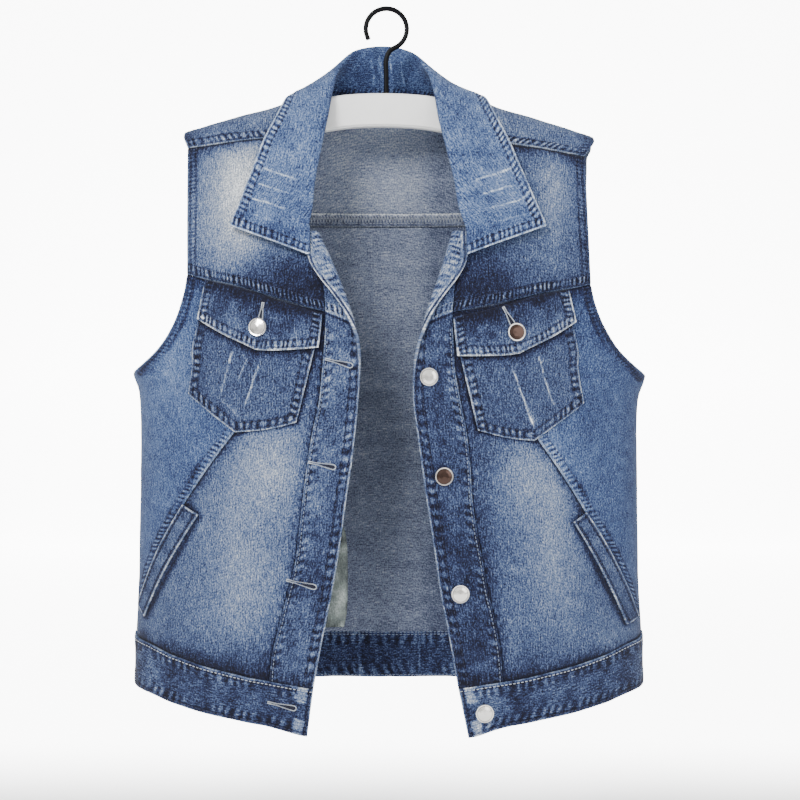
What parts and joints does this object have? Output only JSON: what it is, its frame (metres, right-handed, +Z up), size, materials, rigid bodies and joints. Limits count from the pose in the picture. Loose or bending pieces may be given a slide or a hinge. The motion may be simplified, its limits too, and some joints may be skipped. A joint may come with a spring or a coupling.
{
  "type": "denim vest on a hanger",
  "caption": "Sleeveless denim vest with a turn-down collar, chest and side pockets and metal buttons, hanging open on a coat hanger.",
  "frame": {"origin": "inside top of the hanger hook, where it rests on a rail", "axes": "+Z up, the vest's front faces -Y, +X to the right as the front is seen"},
  "size_m": [0.4779, 0.1459, 0.6651],
  "materials": {
    "denim": "stonewashed twill",
    "pocket_cotton": "plain cotton",
    "button_metal": "worn nickel",
    "hanger_plastic": "white satin",
    "hook_steel": "black"
  },
  "bodies": {
    "root": {"back_panel": "denim", "back_yoke": "denim", "front_yoke_left": "denim", "front_yoke_right": "denim", "side_panel_left": "denim", "side_panel_right": "denim", "front_panel_left": "denim", "front_panel_right": "denim", "placket_left": "denim", "placket_right": "denim", "hem_band": "denim", "chest_pocket_left": "denim", "chest_pocket_right": "denim", "pocket_flap_left": "denim", "pocket_flap_right": "denim", "welt_left": "denim", "welt_right": "denim", "collar": "denim", "pocket_bag_left": "pocket_cotton", "button_1": "button_metal", "button_2": "button_metal", "button_3": "button_metal", "button_hem": "button_metal", "button_pocket_left": "button_metal", "button_pocket_right": "button_metal", "hanger_board": "hanger_plastic", "hanger_hook": "hook_steel"}
  },
  "joints": []
}
